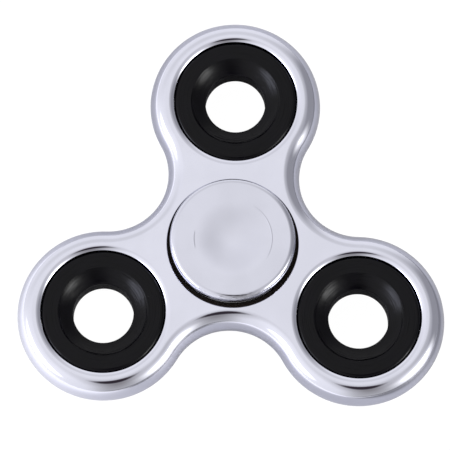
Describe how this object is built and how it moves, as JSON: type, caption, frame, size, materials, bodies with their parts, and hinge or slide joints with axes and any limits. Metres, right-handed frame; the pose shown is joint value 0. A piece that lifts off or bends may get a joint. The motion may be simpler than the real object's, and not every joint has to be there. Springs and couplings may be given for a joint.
{
  "type": "fidget spinner",
  "caption": "Hand spinner: lobed plated rotor with pressed-in ring weights, turning freely on a ball bearing between two dished round finger caps.",
  "frame": {"origin": "on the spin axis, halfway through the thickness of the rotor and bearing", "axes": "+Z along the spin axis, out of the upper finger cap; +Y from the spin axis towards the lobe that holds weight_ring_1; +X completes the right-handed set"},
  "size_m": [0.0752, 0.0694, 0.0132],
  "materials": {
    "plated_frame": "bright chrome electroplating over moulded ABS, mirror gloss, faint handling marks",
    "plated_cap": "bright chrome electroplating over moulded ABS, very slightly hazed",
    "black_weight": "turned steel, semi-gloss black, fine turning rings",
    "ring_steel": "ground bearing steel",
    "ball_steel": "lapped bearing steel balls, mirror bright",
    "pressed_steel": "cold-rolled pressed sheet steel, satin",
    "rivet_steel": "formed steel rivets, satin",
    "spring_steel": "drawn spring steel wire"
  },
  "bodies": {
    "hub": {"cap_upper": "plated_cap", "cap_lower": "plated_cap", "bearing_inner_ring": "ring_steel"},
    "rotor": {"body_frame": "plated_frame", "weight_ring_1": "black_weight", "weight_ring_2": "black_weight", "weight_ring_3": "black_weight", "bearing_outer_ring": "ring_steel", "shield_upper": "pressed_steel", "shield_lower": "pressed_steel", "snap_ring_upper": "spring_steel", "snap_ring_lower": "spring_steel"},
    "cage": {"cage_upper": "pressed_steel", "cage_lower": "pressed_steel", "cage_rivet_1": "rivet_steel", "cage_rivet_2": "rivet_steel", "cage_rivet_3": "rivet_steel", "cage_rivet_4": "rivet_steel", "cage_rivet_5": "rivet_steel", "cage_rivet_6": "rivet_steel", "cage_rivet_7": "rivet_steel"},
    "ball_1": {"bearing_ball_1": "ball_steel"},
    "ball_2": {"bearing_ball_2": "ball_steel"},
    "ball_3": {"bearing_ball_3": "ball_steel"},
    "ball_4": {"bearing_ball_4": "ball_steel"},
    "ball_5": {"bearing_ball_5": "ball_steel"},
    "ball_6": {"bearing_ball_6": "ball_steel"},
    "ball_7": {"bearing_ball_7": "ball_steel"}
  },
  "joints": [
    {"name": "spin", "type": "hinge", "parent": "hub", "child": "rotor", "pos_m": [0, 0, 0], "axis": [0, 0, 1], "continuous": true},
    {"name": "cage_orbit", "type": "hinge", "parent": "hub", "child": "cage", "pos_m": [0, 0, 0], "axis": [0, 0, 1], "continuous": true},
    {"name": "ball_1_roll", "type": "hinge", "parent": "cage", "child": "ball_1", "pos_m": [0, 0.0075, 0], "axis": [0, 0, 1], "continuous": true},
    {"name": "ball_2_roll", "type": "hinge", "parent": "cage", "child": "ball_2", "pos_m": [-0.00586, 0.00468, 0], "axis": [0, 0, 1], "continuous": true},
    {"name": "ball_3_roll", "type": "hinge", "parent": "cage", "child": "ball_3", "pos_m": [-0.00731, -0.00167, 0], "axis": [0, 0, 1], "continuous": true},
    {"name": "ball_4_roll", "type": "hinge", "parent": "cage", "child": "ball_4", "pos_m": [-0.00325, -0.00676, 0], "axis": [0, 0, 1], "continuous": true},
    {"name": "ball_5_roll", "type": "hinge", "parent": "cage", "child": "ball_5", "pos_m": [0.00325, -0.00676, 0], "axis": [0, 0, 1], "continuous": true},
    {"name": "ball_6_roll", "type": "hinge", "parent": "cage", "child": "ball_6", "pos_m": [0.00731, -0.00167, 0], "axis": [0, 0, 1], "continuous": true},
    {"name": "ball_7_roll", "type": "hinge", "parent": "cage", "child": "ball_7", "pos_m": [0.00586, 0.00468, 0], "axis": [0, 0, 1], "continuous": true}
  ],
  "couplings": [
    {"joint": "cage_orbit", "follows": "spin", "ratio": 0.6323},
    {"joint": "ball_1_roll", "follows": "spin", "ratio": 1.7573},
    {"joint": "ball_2_roll", "follows": "spin", "ratio": 1.7573},
    {"joint": "ball_3_roll", "follows": "spin", "ratio": 1.7573},
    {"joint": "ball_4_roll", "follows": "spin", "ratio": 1.7573},
    {"joint": "ball_5_roll", "follows": "spin", "ratio": 1.7573},
    {"joint": "ball_6_roll", "follows": "spin", "ratio": 1.7573},
    {"joint": "ball_7_roll", "follows": "spin", "ratio": 1.7573}
  ]
}
